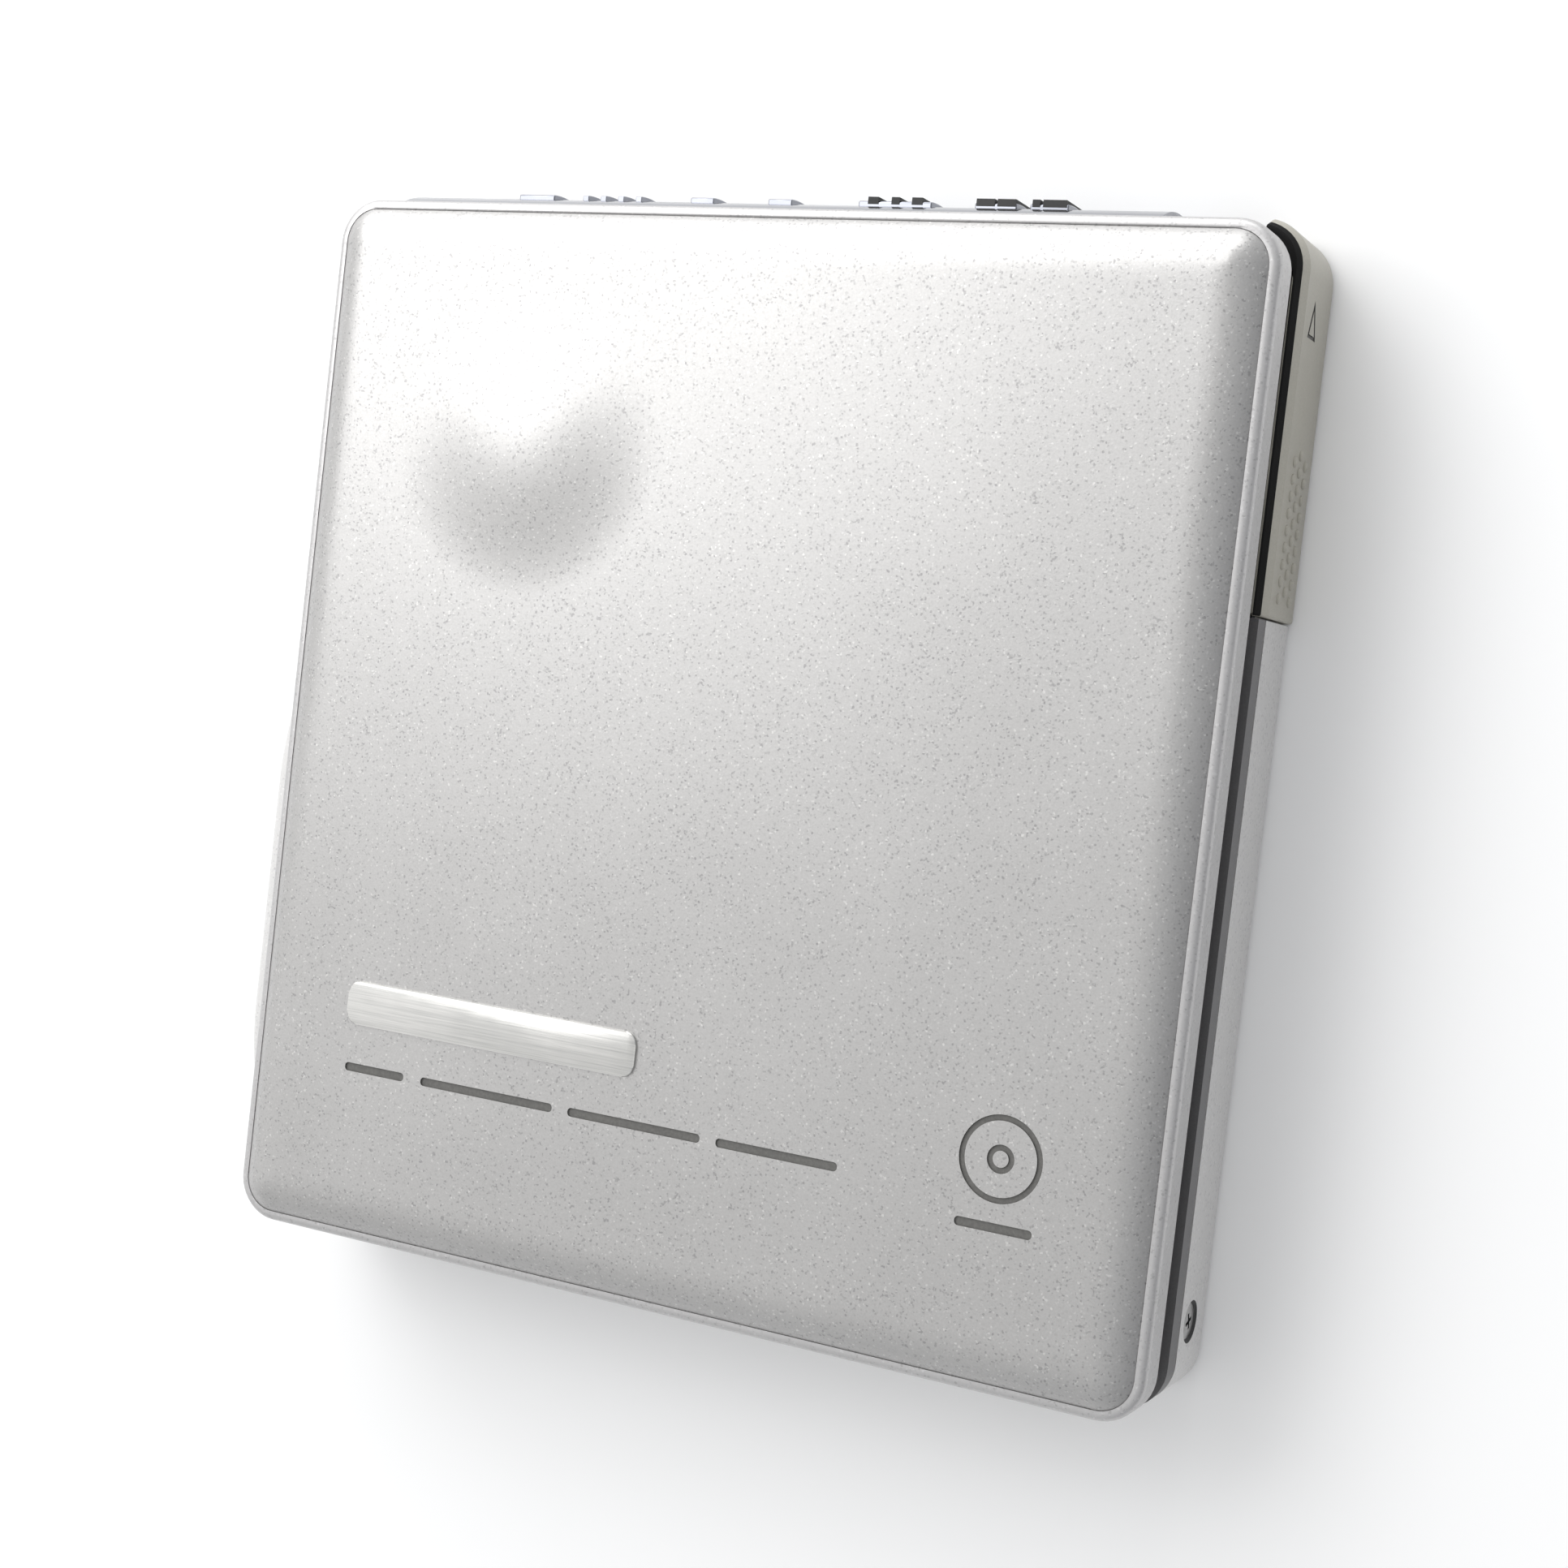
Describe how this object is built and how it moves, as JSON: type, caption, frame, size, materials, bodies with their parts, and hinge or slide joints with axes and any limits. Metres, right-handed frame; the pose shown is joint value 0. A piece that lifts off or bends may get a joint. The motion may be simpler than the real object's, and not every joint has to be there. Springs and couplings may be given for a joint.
{
  "type": "portable disc player",
  "caption": "Flat pocket disc player with a hinged pillowed lid, sliding open lever, key strip, headphone socket and the disc drive inside.",
  "frame": {"origin": "on the underside, under the spindle axis and in the middle of the case outline", "axes": "+X to the open lever side, +Y to the key side, +Z out of the lid; the player lies on its back"},
  "size_m": [0.0742, 0.079, 0.0147],
  "materials": {
    "lid_paint": "fine metallic flake, satin",
    "rim_paint": "metallic, satin",
    "case_paint": "metallic, satin",
    "shoulder_plastic": "satin",
    "black_plastic": "fine texture",
    "strip_chrome": "polished",
    "steel": "plain",
    "screw_steel": "plated",
    "board_green": "solder mask",
    "chip_black": "moulded",
    "cell_wrap": "printed sleeve without print",
    "contact_brass": "plated",
    "chassis_steel": "pressed sheet",
    "damper_rubber": "soft",
    "motor_steel": "drawn can",
    "holder_black": "black coated sheet",
    "lever_plastic": "olive grey, satin",
    "key_chrome": "polished",
    "slider_black": "ribbed",
    "turntable_steel": "turned",
    "magnet_grey": "sintered",
    "sled_metal": "die cast",
    "lens_holder_black": "moulded",
    "lens_glass": "clear"
  },
  "bodies": {
    "case": {"bottom_case": "case_paint", "mid_frame": "shoulder_plastic", "deck": "black_plastic", "control_strip": "strip_chrome", "hinge_pin": "steel", "side_screws": "screw_steel", "base_screws": "screw_steel", "chassis_screws": "screw_steel", "main_board": "board_green", "key_board": "board_green", "board_chips": "chip_black", "key_switches": "chip_black", "headphone_jack": "black_plastic", "battery": "cell_wrap", "battery_contact": "contact_brass", "mech_chassis": "chassis_steel", "chassis_dampers": "damper_rubber", "spindle_motor": "motor_steel", "sled_motor": "motor_steel", "main_guide_rail": "steel", "sub_guide_rail": "steel", "latch_spring": "steel", "door_pin": "steel"},
    "lid": {"lid_panel": "lid_paint", "lid_rim": "rim_paint", "lid_catch": "steel"},
    "holder": {"disc_holder": "holder_black"},
    "lever": {"open_lever": "lever_plastic", "latch_hook": "steel"},
    "mode": {"mode_key": "key_chrome"},
    "play": {"play_key": "key_chrome"},
    "back": {"back_key": "key_chrome"},
    "forward": {"forward_key": "key_chrome"},
    "volume": {"volume_rocker": "key_chrome"},
    "hold": {"hold_slider": "slider_black"},
    "table": {"turntable": "turntable_steel", "turntable_magnet": "magnet_grey"},
    "sled": {"pickup_sled": "sled_metal", "lens_holder": "lens_holder_black", "objective_lens": "lens_glass"},
    "screw": {"lead_screw": "steel"},
    "door": {"battery_door": "case_paint", "door_contact": "contact_brass"}
  },
  "joints": [
    {"name": "lid_hinge", "type": "hinge", "parent": "case", "child": "lid", "pos_m": [-0.0363, 0, 0.0097], "axis": [0, -1, 0], "range_deg": [0, 45]},
    {"name": "holder_hinge", "type": "hinge", "parent": "case", "child": "holder", "pos_m": [-0.0363, 0, 0.0097], "axis": [0, -1, 0], "range_deg": [0, 27]},
    {"name": "lever_slide", "type": "slide", "parent": "case", "child": "lever", "axis": [0, 1, 0], "range_m": [0, 0.0025], "stiffness_N_per_m": 600, "deforming": ["latch_spring"]},
    {"name": "mode_press", "type": "slide", "parent": "case", "child": "mode", "axis": [0, -1, 0], "range_m": [0, 0.0003], "stiffness_N_per_m": 2000},
    {"name": "play_press", "type": "slide", "parent": "case", "child": "play", "axis": [0, -1, 0], "range_m": [0, 0.0003], "stiffness_N_per_m": 2000},
    {"name": "back_press", "type": "slide", "parent": "case", "child": "back", "axis": [0, -1, 0], "range_m": [0, 0.0003], "stiffness_N_per_m": 2000},
    {"name": "forward_press", "type": "slide", "parent": "case", "child": "forward", "axis": [0, -1, 0], "range_m": [0, 0.0003], "stiffness_N_per_m": 2000},
    {"name": "volume_rock", "type": "hinge", "parent": "case", "child": "volume", "pos_m": [-0.0057, 0.03925, 0.0051], "axis": [0, 0, 1], "range_deg": [-4, 4], "stiffness_Nm_per_rad": 0.02},
    {"name": "hold_slide", "type": "slide", "parent": "case", "child": "hold", "axis": [1, 0, 0], "range_m": [0, 0.002]},
    {"name": "spindle_spin", "type": "hinge", "parent": "case", "child": "table", "pos_m": [0, 0, 0.006], "axis": [0, 0, 1], "continuous": true},
    {"name": "sled_slide", "type": "slide", "parent": "case", "child": "sled", "axis": [0, -1, 0], "range_m": [0, 0.0154]},
    {"name": "screw_spin", "type": "hinge", "parent": "case", "child": "screw", "pos_m": [0.0146, -0.02, 0.0042], "axis": [0, -1, 0], "range_deg": [0, 1800]},
    {"name": "door_hinge", "type": "hinge", "parent": "case", "child": "door", "pos_m": [-0.0164, -0.038, 0.0034], "axis": [0, 0, 1], "range_deg": [0, 95]}
  ],
  "couplings": [
    {"joint": "holder_hinge", "follows": "lid_hinge", "ratio": 0.6},
    {"joint": "screw_spin", "follows": "sled_slide", "rad_per_m": 2040}
  ]
}
